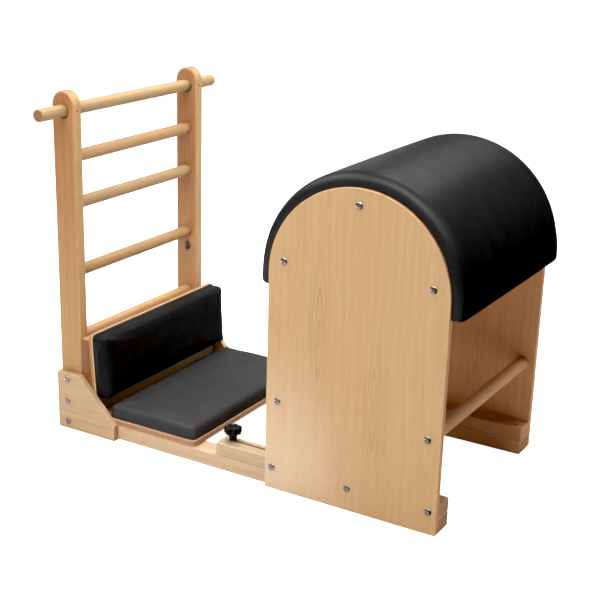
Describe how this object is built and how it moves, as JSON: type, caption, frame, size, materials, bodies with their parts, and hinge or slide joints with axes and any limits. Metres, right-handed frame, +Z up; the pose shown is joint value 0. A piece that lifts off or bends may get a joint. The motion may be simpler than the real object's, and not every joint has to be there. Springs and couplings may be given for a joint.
{
  "type": "pilates ladder barrel",
  "caption": "Pilates ladder barrel: a padded arched barrel on plywood side panels slides along wooden base rails towards an upright rung ladder with a padded seat and back.",
  "frame": {"origin": "on the floor, at the centre of the footprint", "axes": "+X along the base rails from the ladder towards the barrel, +Y across the apparatus to the far side, +Z up"},
  "size_m": [1.257, 0.823, 0.995],
  "materials": {
    "beech": "satin",
    "panel_laminate": "satin",
    "birch_ply": "satin",
    "black_vinyl": "satin",
    "bright_steel": "polished",
    "black_plastic": "satin"
  },
  "bodies": {
    "frame": {"base_rail_near": "beech", "base_rail_far": "beech", "ladder_upright_near": "beech", "ladder_upright_far": "beech", "rung_1_top": "beech", "rung_2": "beech", "rung_3": "beech", "rung_4": "beech", "rung_5": "beech", "top_rung_pin_near": "black_plastic", "top_rung_pin_far": "black_plastic", "gusset_near": "beech", "gusset_far": "beech", "gusset_bolt_near_upper": "bright_steel", "gusset_bolt_near_middle": "bright_steel", "gusset_bolt_near_lower": "bright_steel", "gusset_bolt_far_upper": "bright_steel", "gusset_bolt_far_middle": "bright_steel", "gusset_bolt_far_lower": "bright_steel", "back_cleat_near": "beech", "back_cleat_far": "beech", "seat_board": "birch_ply", "seat_pad": "black_vinyl", "back_board": "birch_ply", "back_pad": "black_vinyl", "clamp_stud_near": "bright_steel", "clamp_stud_far": "bright_steel"},
    "barrel": {"side_panel_near": "panel_laminate", "side_panel_far": "panel_laminate", "slider_block_near": "beech", "slider_block_far": "beech", "panel_bolt_near_arch_top": "bright_steel", "panel_bolt_near_arch_left": "bright_steel", "panel_bolt_near_arch_right": "bright_steel", "panel_bolt_near_mid_left": "bright_steel", "panel_bolt_near_mid_right": "bright_steel", "panel_bolt_near_foot_left": "bright_steel", "panel_bolt_near_foot_middle": "bright_steel", "panel_bolt_near_foot_right": "bright_steel", "panel_bolt_far_arch_top": "bright_steel", "panel_bolt_far_arch_left": "bright_steel", "panel_bolt_far_arch_right": "bright_steel", "panel_bolt_far_mid_left": "bright_steel", "panel_bolt_far_mid_right": "bright_steel", "panel_bolt_far_foot_left": "bright_steel", "panel_bolt_far_foot_middle": "bright_steel", "panel_bolt_far_foot_right": "bright_steel", "stretcher_left": "beech", "stretcher_right": "beech", "arch_former_top": "beech", "arch_former_left": "beech", "arch_former_right": "beech", "barrel_shell": "birch_ply", "barrel_pad": "black_vinyl"},
    "near_clamp_washer": {"clamp_washer_near": "bright_steel"},
    "near_clamp_knob": {"clamp_knob_near": "black_plastic"},
    "far_clamp_washer": {"clamp_washer_far": "bright_steel"},
    "far_clamp_knob": {"clamp_knob_far": "black_plastic"}
  },
  "joints": [
    {"name": "barrel_slide", "type": "slide", "parent": "frame", "child": "barrel", "axis": [1, 0, 0], "range_m": [-0.07, 0]},
    {"name": "near_clamp_lift", "type": "slide", "parent": "frame", "child": "near_clamp_washer", "axis": [0, 0, 1], "range_m": [0, 0.00251]},
    {"name": "near_clamp_turn", "type": "hinge", "parent": "near_clamp_washer", "child": "near_clamp_knob", "pos_m": [-0.0465, -0.273, 0.1], "axis": [0, 0, 1], "range_deg": [0, 720]},
    {"name": "far_clamp_lift", "type": "slide", "parent": "frame", "child": "far_clamp_washer", "axis": [0, 0, 1], "range_m": [0, 0.00251]},
    {"name": "far_clamp_turn", "type": "hinge", "parent": "far_clamp_washer", "child": "far_clamp_knob", "pos_m": [-0.0465, 0.273, 0.1], "axis": [0, 0, 1], "range_deg": [0, 720]}
  ],
  "couplings": [
    {"joint": "near_clamp_lift", "follows": "near_clamp_turn", "m_per_rad": 0.00019894},
    {"joint": "far_clamp_lift", "follows": "far_clamp_turn", "m_per_rad": 0.00019894}
  ]
}
